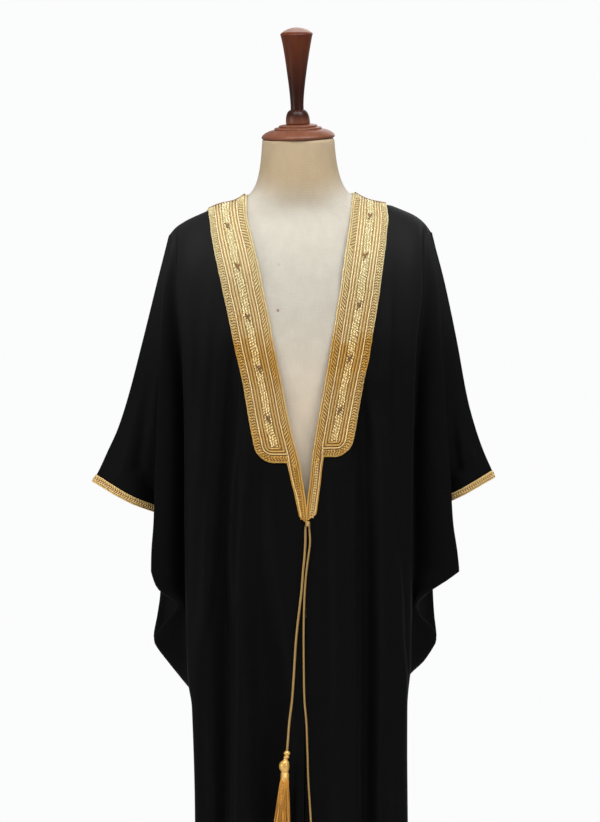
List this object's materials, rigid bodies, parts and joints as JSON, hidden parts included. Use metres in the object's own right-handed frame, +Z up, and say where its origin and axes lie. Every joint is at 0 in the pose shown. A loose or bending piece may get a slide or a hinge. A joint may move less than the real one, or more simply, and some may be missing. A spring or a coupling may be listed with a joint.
{
  "type": "bisht on a limbless dress form",
  "caption": "Open-front black cloak with wide gold-embroidered front bands, gold cuffs and tasselled cords, worn by a limbless linen dress form with a turned wooden finial.",
  "frame": {"origin": "middle of the stand's round base, on the floor", "axes": "+Z up, the front faces -Y, the wearer's right is at -X"},
  "size_m": [0.6785, 0.3212, 1.7848],
  "materials": {
    "black_wool": "fine matte black wool with a soft sheen",
    "gold_zari": "gold metal-thread embroidery with couched cords",
    "gold_thread": "twisted and wrapped gold silk thread",
    "linen": "natural unbleached linen, stretched smooth",
    "dark_wood": "dark mahogany, satin varnish",
    "stand_metal": "black, satin"
  },
  "bodies": {
    "root": {"dress_form": "linen", "neck_cap": "dark_wood", "finial": "dark_wood", "pole": "stand_metal", "base": "stand_metal", "front_right": "black_wool", "front_left": "black_wool", "back": "black_wool", "band_right": "gold_zari", "band_left": "gold_zari", "neck_band": "gold_zari", "cuff_right": "gold_zari", "cuff_left": "gold_zari", "knot": "gold_thread", "cord_right": "gold_thread", "cord_left": "gold_thread", "tassel_right": "gold_thread", "tassel_left": "gold_thread"}
  },
  "joints": []
}
